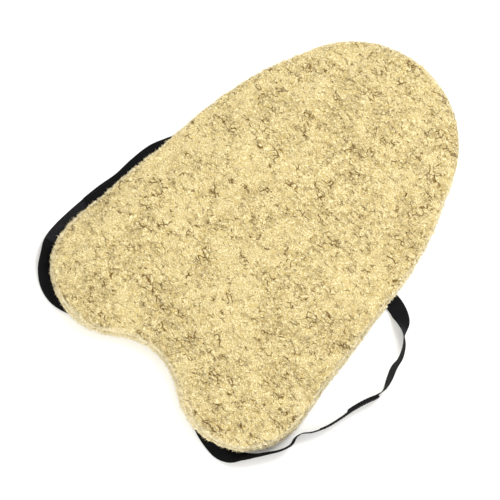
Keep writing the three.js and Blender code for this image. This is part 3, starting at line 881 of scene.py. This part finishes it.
    def bands(self) -> list[bpy.types.Object]:
        """The side band and the two rear bands beside the zip, each rolled between its seams."""
        made = []
        for node, voxel, levels, bulge in (
            ("side_band", 2.4, 1, 1.4),
            ("rear_band_lower", 1.0, 0, 0.5),
            ("rear_band_upper", 1.0, 0, 0.5),
        ):
            piece = merged_copy(node, "fleece_" + node)
            apply_modifier(piece, "REMESH", mode="VOXEL", voxel_size=voxel * MM)
            if levels:
                apply_modifier(piece, "SUBSURF", levels=levels, render_levels=levels)
            else:
                apply_modifier(piece, "SMOOTH", iterations=2)
            self.roll(piece, node, bulge)
            self.grow_pile(piece, 0.8 if node == "side_band" else 0.45)
            FLEECE.dress(piece, "fleece")
            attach(piece, self.body.value)
            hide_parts(node)
            made.append(piece)
        return made

    def roll(self, piece: bpy.types.Object, node: str, bulge: float) -> None:
        """Bows a band's outer side outwards between its two seams."""
        low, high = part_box(node)
        points = points_of(piece)
        normals = normals_of(piece)
        share = np.clip((points[:, 2] - low.z) / (high.z - low.z), 0, 1)
        clear = np.array([self.foam_tree.find_nearest(p)[3] for p in points])
        outer = smoothstep(clear, 6 * MM, 11 * MM)
        bow = np.sin(math.pi * share) * 2 - 1
        flat = normals.copy()
        flat[:, 2] = 0
        points += flat * (bow * bulge * outer * MM)[:, None]
        move_points(piece, points)

    def foam(self) -> bpy.types.Object:
        """The foam core, with its cut edges softened."""
        piece = rounded_copy("foam_core", "foam_pad", 1.5, 3)
        FOAM.dress(piece, "foam")
        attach(piece, self.body.value)
        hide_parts("foam_core")
        return piece

    def base(self) -> bpy.types.Object:
        """The non-slip base panel, with its turned-in edge."""
        piece = rounded_copy("base_panel", "non_slip_base", 0.6, 3)
        NON_SLIP.dress(piece, "nonslip_fabric")
        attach(piece, self.body.value)
        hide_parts("base_panel")
        return piece

    def base_seam(self) -> bpy.types.Object:
        """The row of stitches that holds the base panel, a little inside its edge."""
        edge = self.outline_of("base_panel")
        run = Stitches(length=3.2, gap=1.6, thickness=0.5)
        piece = run.along("base_seam", self.inside(edge, 4 * MM), Vector((0, 0, -1)), -0.3)
        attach(piece, self.body.value)
        return piece

    def outline_of(self, node: str) -> list[Vector]:
        """The bottom outline of a flat CAD node, in order."""
        piece = merged_copy(node, "outline")
        bottom = min(piece.data.polygons, key=lambda p: p.center.z - p.area)
        points = [piece.data.vertices[v].co.copy() for v in bottom.vertices]
        bpy.data.objects.remove(piece)
        return points

    def inside(self, points: list[Vector], inset: float) -> list[Vector]:
        """A closed outline moved inwards."""
        made = []
        for before, here, after in zip(points[-1:] + points[:-1], points, points[1:] + points[:1]):
            along = (after - before).normalized()
            made.append(here + along.cross(Vector((0, 0, -1))) * -inset)
        return made + made[:1]


@dataclass
class Fringe:
    """Loose curled ends of pile that stand off the cushion's rolled sides."""

    body: Body
    spacing: float = 5.0  # square mm of side for each curl
    length: tuple[float, float] = (2.2, 4.6)  # mm
    root: float = 0.42  # mm, radius
    side_slope: float = 0.75  # normals flatter than this grow a fringe
    seed: int = 11

    def grow(self, cover: bpy.types.Object) -> bpy.types.Object:
        """Grows curls from the sides of a fleece piece.

        Args:
            cover: The fleece piece, with its pile grown.

        Returns:
            All its curls as one piece.
        """
        points, normals = points_of(cover), normals_of(cover)
        foam = bpy.data.objects["foam_core"].data
        tree = BVHTree.FromPolygons([v.co for v in foam.vertices], [p.vertices for p in foam.polygons])
        rng = np.random.default_rng(self.seed)
        able = np.flatnonzero((normals[:, 2] < self.side_slope) & (normals[:, 2] > -0.35))
        able = np.array([i for i in able if tree.find_nearest(points[i])[3] > 7 * MM])
        per_point = self.area_per_point(cover) / self.spacing
        chosen = able[rng.random(len(able)) < per_point]
        places = [self.place(points[i], normals[i], rng) for i in chosen]
        piece = joined_copies(cover.name + "_fringe", self.curl(), places)
        FLEECE.dress(piece, "fleece")
        full = np.ones(len(piece.data.vertices))
        # the curls get most of the rolled edge's painted highlight and none of the painted crease shade
        store_shares(piece, pile=0.85 * full, deep=0 * full, rough=0 * full, rim=0.8 * full)
        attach(piece, self.body.value)
        return piece

    def area_per_point(self, cover: bpy.types.Object) -> float:
        """The middle area of a cover's faces, in square mm."""
        areas = np.empty(len(cover.data.polygons))
        cover.data.polygons.foreach_get("area", areas)
        return float(np.median(areas)) / MM**2

    def curl(self) -> bpy.types.Object:
        """One curl about the origin, a millimetre long: a thin cone that bends over."""
        bpy.ops.object.select_all(action="DESELECT")
        bpy.ops.mesh.primitive_cone_add(vertices=3, radius1=self.root, radius2=self.root * 0.25, depth=1,
                                        location=(0, 0, 0.5))
        piece = bpy.context.object
        bpy.ops.object.transform_apply(location=True)
        bpy.ops.object.mode_set(mode="EDIT")
        for height in (0.35, 0.7):
            bpy.ops.mesh.select_all(action="SELECT")
            bpy.ops.mesh.bisect(plane_co=(0, 0, height), plane_no=(0, 0, 1))
        bpy.ops.object.mode_set(mode="OBJECT")
        points = points_of(piece)
        bend = points[:, 2] ** 2
        points[:, 0] += 0.75 * bend
        points[:, 2] -= 0.3 * bend
        move_points(piece, points)
        return piece

    def place(self, root: np.ndarray, normal: np.ndarray, rng: np.random.Generator) -> Callable[[Any], Any]:
        """A function that stands one curl on its root, turned and sized at random."""
        length = rng.uniform(*self.length)
        lean = rng.normal(0, 0.45, 3)
        up = normal + lean
        up /= np.linalg.norm(up)
        side = np.cross(up, rng.normal(0, 1, 3))
        side /= np.linalg.norm(side)
        turn = np.array([side, np.cross(up, side), up]) * MM
        size = np.array([1.0, 1.0, length])
        bend = length * 0.55

        def laid(points: np.ndarray) -> np.ndarray:
            """The curl's points, the bend growing with its length."""
            sized = points * size
            sized[:, 0] += points[:, 2] ** 2 * bend
            made = sized @ turn + root - normal * 0.6 * MM
            made[:, 2] = np.maximum(made[:, 2], 0.3 * MM)
            return made

        return laid


@dataclass
class Stitches:
    """A row of sewn stitches: short rounded bars of thread, each dipping in at its ends."""

    length: float = 2.6  # mm
    gap: float = 0.7  # mm between stitches
    thickness: float = 0.45  # mm

    def along(self, name: str, path: list[Vector], up: Vector, lift: float) -> bpy.types.Object:
        """Sews stitches along a path.

        Args:
            name: The piece's name.
            path: Points in metres.
            up: The face's outward direction.
            lift: How far the thread's middle stands off the path, in mm.

        Returns:
            The row of stitches.
        """
        distance = [0.0]
        for a, b in zip(path, path[1:]):
            distance.append(distance[-1] + (b - a).length)
        pitch = (self.length + self.gap) * MM
        count = int(distance[-1] / pitch)
        coordinates = np.array([tuple(p) for p in path])
        places = []
        for i in range(count):
            start = (i + 0.5) * distance[-1] / count
            ends = [start - self.length / 2 * MM, start + self.length / 2 * MM]
            a, b = ([np.interp(d, distance, coordinates[:, k]) for k in range(3)] for d in ends)
            places.append(self.place(Vector(a), Vector(b), up, lift))
        piece = joined_copies(name, self.stitch(), places)
        THREAD.dress(piece)
        return piece

    def stitch(self) -> bpy.types.Object:
        """One stitch about the origin, along X."""
        bpy.ops.object.select_all(action="DESELECT")
        bpy.ops.mesh.primitive_uv_sphere_add(segments=6, ring_count=4, radius=0.5)
        piece = bpy.context.object
        bpy.ops.object.mode_set(mode="EDIT")
        bpy.ops.transform.resize(value=(self.length * MM, self.thickness * MM, self.thickness * MM))
        bpy.ops.object.mode_set(mode="OBJECT")
        return piece

    def place(self, a: Vector, b: Vector, up: Vector, lift: float) -> Callable[[np.ndarray], np.ndarray]:
        """A function that lays the stitch's points from a to b."""
        along = (b - a).normalized()
        side = up.cross(along).normalized()
        turn = np.array([tuple(along), tuple(side), tuple(along.cross(side))])
        middle = np.array((a + b) / 2 + up * lift * MM)
        return lambda points: points @ turn + middle


# ---------------------------------------------------------------------------- straps


def catmull_rom(points: list[Vector], samples: int) -> list[Vector]:
    """Points on the centripetal Catmull-Rom curve through some points.

    Args:
        points: The points that it goes through.
        samples: Samples in each span.

    Returns:
        The samples in order, the last point included.
    """
    padded = [points[0] * 2 - points[1], *points, points[-1] * 2 - points[-2]]
    made = []
    for p0, p1, p2, p3 in zip(padded, padded[1:], padded[2:], padded[3:]):
        d0, d1, d2 = (math.sqrt((b - a).length) for a, b in ((p0, p1), (p1, p2), (p2, p3)))
        t1 = ((p1 - p0) / d0 - (p2 - p0) / (d0 + d1) + (p2 - p1) / d1) * d1
        t2 = ((p2 - p1) / d1 - (p3 - p1) / (d1 + d2) + (p3 - p2) / d2) * d1
        for i in range(samples):
            t = i / samples
            made.append(p1 + t1 * t + (-3 * p1 + 3 * p2 - 2 * t1 - t2) * t * t + (2 * p1 - 2 * p2 + t1 + t2) * t**3)
    made.append(points[-1].copy())
    return made


@dataclass
class Outline:
    """The cushion's outline, as far as the straps need it, in mm."""

    length: float
    width: float
    rear_width: float = 235
    lobe_radius: float = 75
    rear_arc_start: float = math.radians(25)
    lobe_arc_end: float = math.radians(8)
    rear_handle: float = 0.376
    lobe_handle: float = 0.629

    @property
    def lobe(self) -> tuple[float, float]:
        """The right lobe's centre."""
        return self.width / 2 - self.lobe_radius, -self.length / 2 + self.lobe_radius

    def half_width(self, y: float) -> float:
        """Half the width at a distance along the cushion.

        Args:
            y: Towards the rear.

        Returns:
            The right side's x there.
        """
        lobe_x, lobe_y = self.lobe
        rear = self.rear_width / 2
        turn, away = self.lobe_arc_end, self.rear_arc_start
        start = Vector((lobe_x + self.lobe_radius * math.cos(turn), lobe_y + self.lobe_radius * math.sin(turn)))
        end = Vector((rear * math.cos(away), self.length / 2 - rear + rear * math.sin(away)))
        chord = (end - start).length
        pulls = [start, start + Vector((-math.sin(turn), math.cos(turn))) * self.lobe_handle * chord,
                 end + Vector((math.sin(away), -math.cos(away))) * self.rear_handle * chord, end]
        steps = np.linspace(0, 1, 49)[:, None]
        weights = [(1 - steps) ** 3, 3 * steps * (1 - steps) ** 2, 3 * steps**2 * (1 - steps), steps**3]
        curve = sum(w * np.array(p) for w, p in zip(weights, pulls))
        return float(np.interp(y, curve[:, 1], curve[:, 0]))


@dataclass
class Strap:
    """One closed strap loop: two webbings from the cushion, held together by hook and loop tapes."""

    name: str
    body: Body
    side: int
    rear_layer: int
    route: list[tuple[float, float, float, float]]
    hinge: tuple[float, float, float]
    rear_reach: float
    hook_length: float
    loop_length: float
    outline: Outline
    exit_y: float = 18
    width: float = 19
    thickness: float = 1.0
    tape_width: float = 17
    tape_layer: float = 0.5
    gap: float = 0.25
    overlap: float = 36
    steps: int = 84  # of the solids, which the pieces' ends keep to
    per_step: int = 4

    def lay(self) -> None:
        """Works out the strap's middle line, with the direction of its width and face at each sample."""
        lobe_x, lobe_y = self.outline.lobe
        places = []
        for place, out, height, _ in self.route:
            if place <= 1:
                y = self.exit_y + (lobe_y - self.exit_y) * place
                places.append(Vector((self.side * (self.outline.half_width(y) + out), y, height)))
                continue
            radius = self.outline.lobe_radius + out
            angle = math.radians(-place)
            x = lobe_x + radius * math.cos(angle)
            places.append(Vector((self.side * x, lobe_y + radius * math.sin(angle), height)))
        rolls = [Vector((i, r[3], 0)) for i, r in enumerate(self.route)]
        line = np.array([tuple(p) for p in catmull_rom(places, 40)])
        roll = np.array([p.y for p in catmull_rom(rolls, 40)])
        run = np.concatenate([[0], np.cumsum(np.linalg.norm(np.diff(line, axis=0), axis=1))])
        self.length = float(run[-1])
        at = np.linspace(0, self.length, self.steps * self.per_step + 1)
        self.at = np.stack([np.interp(at, run, line[:, k]) for k in range(3)], 1)
        turn = np.radians(np.interp(at, run, roll))[:, None]
        tangent = np.gradient(self.at, axis=0)
        tangent /= np.linalg.norm(tangent, axis=1, keepdims=True)
        across = np.stack([tangent[:, 1], -tangent[:, 0], np.zeros(len(at))], 1)
        across /= np.linalg.norm(across, axis=1, keepdims=True)
        up = np.cross(across, tangent)
        self.wide = across * np.cos(turn) + up * np.sin(turn)
        self.face = up * np.cos(turn) - across * np.sin(turn)

    def sample(self, distance: float) -> int:
        """The sample at a distance from the rear end, on a step of the solids."""
        return round(distance / self.length * self.steps) * self.per_step

    def ribbon(self, name: str, start: int, end: int, width: float, thickness: float, layer: float) -> Any:
        """A woven ribbon with rounded edges, which carries its length and width as a UV map.

        Args:
            name: The piece's name.
            start: Its first sample.
            end: Its last sample.
            width: In mm.
            thickness: In mm.
            layer: How far its middle stands off the strap's middle line, in mm.

        Returns:
            The ribbon, its ends closed.
        """
        corners = 20
        turns = [math.tau * (i + 0.5) / corners for i in range(corners)]
        section = [(width / 2 * math.copysign(abs(math.cos(a)) ** 0.22, math.cos(a)),
                    thickness / 2 * math.copysign(abs(math.sin(a)) ** 0.4, math.sin(a))) for a in turns]
        points = []
        for i in range(start, end + 1):
            for y, z in section:
                points.append((self.at[i] - self.wide[i] * y + self.face[i] * (z + layer)) * MM)
        rows = end - start
        faces = [[r * corners + c, r * corners + (c + 1) % corners, (r + 1) * corners + (c + 1) % corners,
                  (r + 1) * corners + c] for r in range(rows) for c in range(corners)]
        faces.append(list(range(corners))[::-1])
        faces.append([rows * corners + c for c in range(corners)])
        piece = mesh_piece(name, points, faces)
        select_only(piece)
        bpy.ops.object.mode_set(mode="EDIT")
        bpy.ops.mesh.select_all(action="SELECT")
        bpy.ops.mesh.normals_make_consistent(inside=False)
        bpy.ops.object.mode_set(mode="OBJECT")
        weave = piece.data.uv_layers.new(name="weave")
        pace = self.length / (len(self.at) - 1)
        for loop in piece.data.loops:
            row, corner = divmod(loop.vertex_index, corners)
            weave.data[loop.index].uv = ((start + row) * pace * MM, section[corner][0] * MM)
        smooth(piece, 60)
        return piece

    def build(self) -> list[bpy.types.Object]:
        self.lay()
        last = len(self.at) - 1
        rear_end = self.sample(self.rear_reach)
        front_end = self.sample(self.rear_reach - self.overlap)
        hook_start = rear_end - self.sample(self.hook_length)
        loop_end = front_end + self.sample(self.loop_length)
        webbing_off = self.gap * 1.5 + self.tape_layer + self.thickness / 2
        tape_off = (self.gap + self.tape_layer) / 2
        layer = self.rear_layer
        rear = self.ribbon(self.name + "_rear", 0, rear_end, self.width, self.thickness, layer * webbing_off)
        front = self.ribbon(self.name + "_front", front_end, last, self.width, self.thickness, -layer * webbing_off)
        hook = self.ribbon(self.name + "_hook", hook_start, rear_end, self.tape_width, self.tape_layer,
                           layer * tape_off)
        loop = self.ribbon(self.name + "_loop", front_end, loop_end, self.tape_width, self.tape_layer,
                           -layer * tape_off)
        sewing = [self.sew("rear", hook_start, rear_end, layer * webbing_off, layer),
                  self.sew("front", front_end, loop_end, -layer * webbing_off, -layer)]
        WEBBING.dress(rear, "webbing")
        WEBBING.dress(front, "webbing")
        HOOK.dress(hook, "hook_tape")
        LOOP.dress(loop, "loop_tape")
        for piece in (hook, loop, *sewing):
            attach(piece, self.body.value)
        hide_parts(self.name + "_rear_webbing", self.name + "_rear_tab")
        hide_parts(self.name + "_front_webbing", self.name + "_front_tab")
        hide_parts(self.name + "_hook_tape")
        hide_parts(self.name + "_loop_tape")
        for webbing, tape, thread, start, end in ((rear, hook, sewing[0], 0, rear_end),
                                                  (front, loop, sewing[1], last, front_end)):
            self.bend(webbing)
            order = range(start, end + 1) if start < end else range(start, end - 1, -1)
            path = [self.at[i] * MM for i in order]
            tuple(path[0])
            self.run_of(path)
        return [rear, front, hook, loop, *sewing]

    def run_of(self, path: list[np.ndarray]) -> float:
        """The length of a path in metres."""
        return float(sum(np.linalg.norm(b - a) for a, b in zip(path, path[1:])))

    def bend(self, piece: bpy.types.Object) -> None:
        """Bakes a webbing's transform into its mesh."""
        rear_out, front_x, front_y = self.hinge
        lobe_x, lobe_y = self.outline.lobe
        rear_x = self.side * (self.outline.half_width(self.exit_y) + rear_out)
        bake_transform(piece)

    def sew(self, end_name: str, start: int, end: int, layer: float, sign: int) -> bpy.types.Object:
        """The stitches round a tape, on the outer face of its webbing.

        Args:
            end_name: Which webbing it is on.
            start: The tape's first sample.
            end: Its last sample.
            layer: The webbing's distance from the strap's middle line, in mm.
            sign: Which way the webbing's outer face looks.

        Returns:
            The stitches.
        """
        outer = layer + sign * self.thickness / 2
        edge = self.tape_width / 2 - 1.6
        inset = self.per_step
        sides = [[self.lift(i, y, outer) for i in range(start + inset, end - inset + 1)] for y in (-edge, edge)]
        run = Stitches()
        places = []
        for side in sides:
            places += self.stitches_along(side, run, start + inset, sign)
        for i in (start + inset, end - inset):
            places += self.stitches_along([self.lift(i, y, outer) for y in np.linspace(-edge, edge, 9)], run, i, sign)
        piece = joined_copies(f"{self.name}_{end_name}_stitches", run.stitch(), places)
        THREAD.dress(piece)
        return piece

    def lift(self, i: int, y: float, z: float) -> Vector:
        """A point of the strap in metres, from its sample, its place across and its height off the face."""
        return Vector((self.at[i] - self.wide[i] * y + self.face[i] * z) * MM)

    def stitches_along(self, path: list[Vector], run: Stitches, first: int, sign: int) -> list[Any]:
        """Places for stitches along one line on the strap's face."""
        pitch = (run.length + run.gap) * MM
        total = sum((b - a).length for a, b in zip(path, path[1:]))
        count = max(1, int(total / pitch))
        per = (len(path) - 1) / count
        made = []
        for k in range(count):
            a = path[round(k * per)]
            b = path[min(len(path) - 1, round((k + 1) * per))]
            row = min(first + round((k + 0.5) * per), len(self.at) - 1)
            up = Vector(self.face[row]) * sign
            made.append(run.place(a.lerp(b, 0.1), a.lerp(b, 0.9), up, 0.1))
        return made


RIGHT_ROUTE = [
    (-0.008, -28, 3.7, 0), (-0.004, -17, 3.7, 0), (0, -6, 3.7, 0), (0.005, 5, 3.7, 3), (0.025, 16, 4.9, 14),
    (0.058, 26.5, 9.1, 46), (0.107, 35, 9.8, 86), (0.163, 43, 10.4, 100), (0.236, 48, 10.4, 108),
    (0.303, 48.4, 10.4, 114), (0.376, 52, 10.4, 112), (0.444, 54.6, 10.3, 101), (0.505, 51.6, 10.2, 95),
    (0.579, 44.5, 10.2, 94), (0.674, 37, 10.2, 94), (0.764, 31.5, 10.2, 95), (0.858, 24.5, 10.2, 96),
    (0.94, 15, 10.2, 97), (0.99, 7.5, 10.2, 99), (5, 5, 10.2, 101), (11, 8, 10.2, 103), (20, 7, 10.2, 105),
    (29, 4.8, 10.2, 108), (39, 4.2, 9.9, 112), (49.5, 4.4, 8.8, 128), (59, 4.9, 5.4, 160), (68, 3.2, 3.7, 180),
    (80, -3.2, 3.7, 180), (92.5, -9, 3.7, 180), (105, -14, 3.7, 180),
]
LEFT_ROUTE = [
    (-0.09, -20, 1, 0), (0.02, -15, 1, 0), (0.13, -9.5, 1, 0), (0.215, -3.5, 1, 0), (0.31, 2, 1, 0),
    (0.44, 2.9, 1.2, 0), (0.575, 1.4, 1.8, 0), (0.7, 3, 2.3, 0), (0.815, 3.2, 2.3, 0), (0.94, 2.4, 2.3, 0),
    (7.3, 3.2, 2.4, 0), (19, 4.7, 4.7, 14), (31, 4.7, 8.4, 42), (43, 4.7, 5, 16), (54.5, 3.9, 3.7, 0),
    (66, 0, 3.7, 0), (78, -7.5, 3.7, 0), (89, -16, 3.7, 0),
]


# ---------------------------------------------------------------------------- zip


@dataclass
class Zip:
    """The closed coil zip in the rear band, with its slider and pull."""

    rear_radius: float = 117.5  # mm, of the cushion's half-round rear
    tape_radius: float = 105.8
    tape_thickness: float = 0.8
    coil_radius: float = 106.9
    coil_depth: float = 1.8
    coil_height: float = 2.0
    coil_start: float = 31  # degrees
    coil_end: float = 141
    turn_pitch: float = 1.5  # mm between turns of a coil
    wire: float = 0.55  # mm

    def build(self) -> list[bpy.types.Object]:
        """Builds the tapes, coils, stops, slider and pull."""
        low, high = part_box("zip_tape_lower")
        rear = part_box("top_fleece")[1].y
        self.centre = Vector((0, rear - self.rear_radius * MM, 0))
        made = []
        for which in ("lower", "upper"):
            made.append(self.tape(which))
            made.append(self.coil(which))
        for node in ("zip_stop_closed", "zip_stop_open"):
            made.append(self.casting(node, Body.CUSHION, 0.3))
        made.append(self.casting("zip_slider", Body.ZIP_SLIDER, 0.25))
        made.append(self.casting("zip_pull", Body.ZIP_PULL, 0.3))
        return made

    def tape(self, which: str) -> bpy.types.Object:
        """One woven tape."""
        low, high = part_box("zip_tape_" + which)
        inner, outer = self.tape_radius, self.tape_radius + self.tape_thickness
        bottom, top = low.z / MM, high.z / MM
        section = [(inner, bottom), (outer, bottom), (outer, top), (inner, top)]
        piece = spun_piece("zip_cloth_" + which, self.centre, section, 25.2, 154.8, 64)
        ZIP_TAPE.dress(piece, "zip_tape")
        smooth(piece, 40)
        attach(piece, Body.CUSHION.value)
        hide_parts("zip_tape_" + which)
        return piece

    def coil(self, which: str) -> bpy.types.Object:
        """One coil, as its row of turns."""
        low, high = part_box("zip_coil_" + which)
        bpy.ops.object.select_all(action="DESELECT")
        major = (self.coil_height - self.wire) / 2 * MM
        bpy.ops.mesh.primitive_torus_add(major_segments=10, minor_segments=5, major_radius=major,
                                         minor_radius=self.wire / 2 * MM)
        turn = bpy.context.object
        middle_radius = self.coil_radius + self.coil_depth / 2
        span = math.radians(self.coil_end - self.coil_start)
        count = int(span * middle_radius / self.turn_pitch)
        height = (low.z + high.z) / 2
        squeeze = (self.coil_depth - self.wire) / (self.coil_height - self.wire)
        offset = 0.5 if which == "upper" else 0.0
        places = []
        for i in range(count):
            angle = math.radians(self.coil_start) + span * (i + 0.25 + offset) / count
            places.append(self.turn_at(angle, middle_radius * MM, height, squeeze))
        piece = joined_copies("zip_turns_" + which, turn, places)
        COIL.dress(piece, "zip_coil")
        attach(piece, Body.CUSHION.value)
        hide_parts("zip_coil_" + which)
        return piece

    def turn_at(self, angle: float, radius: float, height: float, squeeze: float) -> Callable[[np.ndarray], Any]:
        """A function that stands one turn upright at an angle round the rear."""
        out = np.array([math.cos(angle), math.sin(angle), 0])
        along = np.array([-math.sin(angle), math.cos(angle), 0])
        up = np.array([0, 0, 1])
        middle = np.array(self.centre) + out * radius + up * height
        turn = np.array([out * squeeze, up, along])
        return lambda points: points @ turn + middle

    def casting(self, node: str, body: Body, radius: float) -> bpy.types.Object:
        """A metal piece with its cast edges rounded."""
        piece = rounded_copy(node, node + "_metal", radius, 2)
        METAL.dress(piece, "zip_metal")
        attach(piece, body.value)
        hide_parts(node)
        return piece


# ---------------------------------------------------------------------------- studio


@dataclass
class Studio:
    """The floor, the soft lights and the camera."""

    azimuth: float = 42.75
    elevation: float = 78.0
    target: tuple[float, float, float] = (-2.2, -47.6, 16.0)  # mm
    view_width: float = 550.0  # mm across the picture at the target
    lens: float = 420.0
    sensor: float = 36.0

    def build(self) -> None:
        """Sets up the camera, floor, lights and view."""
        self.place_camera()
        self.place_floor()
        scene = bpy.context.scene
        scene.view_settings.view_transform = "Standard"
        world = bpy.data.worlds.new("studio")
        scene.world = world
        world.use_nodes = True
        background = world.node_tree.nodes["Background"]
        background.inputs[0].default_value = linear("#fffdf8")
        background.inputs[1].default_value = 0.92
        self.place_light("key", (0.1, 1.1, 1.7), 1.1, 30)
        self.place_light("fill", (0.9, -1.3, 1.1), 1.8, 18)

    def place_camera(self) -> None:
        """Points a long lens at the cushion."""
        data = bpy.data.cameras.new("camera")
        data.lens = self.lens
        data.sensor_width = self.sensor
        data.dof.use_dof = False
        camera = bpy.data.objects.new("camera", data)
        bpy.context.scene.collection.objects.link(camera)
        a, e = math.radians(self.azimuth), math.radians(self.elevation)
        back = Vector((math.sin(a) * math.cos(e), -math.cos(a) * math.cos(e), math.sin(e)))
        distance = self.view_width / 2 * MM / (self.sensor / 2 / self.lens)
        camera.location = Vector(self.target) * MM + back * distance
        camera.rotation_mode = "QUATERNION"
        camera.rotation_quaternion = (-back).to_track_quat("-Z", "Y")
        data.clip_start = 0.05
        data.clip_end = 50
        bpy.context.scene.camera = camera

    def place_floor(self) -> None:
        """A wide pale floor at the height the cushion rests on."""
        bpy.ops.object.select_all(action="DESELECT")
        bpy.ops.mesh.primitive_plane_add(size=12)
        floor = bpy.context.object
        floor.name = "studio_floor"
        PaperFloor("studio_paper").dress(floor)

    def place_light(self, name: str, place: tuple[float, float, float], size: float, power: float) -> None:
        """An area light that faces the cushion."""
        data = bpy.data.lights.new(name, "AREA")
        data.shape = "DISK"
        data.size = size
        data.energy = power
        light = bpy.data.objects.new(name, data)
        bpy.context.scene.collection.objects.link(light)
        light.location = place
        light.rotation_euler = (-Vector(place)).to_track_quat("-Z", "Y").to_euler()


# ---------------------------------------------------------------------------- all together


def main() -> None:
    """Builds the cushion, its straps and its zip in the studio."""
    logging.basicConfig(level=logging.INFO, format="%(message)s")
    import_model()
    Studio().build()
    low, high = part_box("top_fleece")
    outline = Outline(length=(high.y - low.y) / MM, width=(high.x - low.x) / MM)
    straps = [
        Strap("right_strap", Body.RIGHT_STRAP, 1, -1, RIGHT_ROUTE, (-6, 29, -73), 186, 38, 72, outline),
        Strap("left_strap", Body.LEFT_STRAP, -1, 1, LEFT_ROUTE, (1, 42, -66), 170, 38, 94, outline),
    ]
    for part in (*straps, Cushion(outline), Zip()):
        for piece in part.build():
            log.info("%s: %d faces", piece.name, len(piece.data.polygons))


if __name__ == "__main__":
    main()
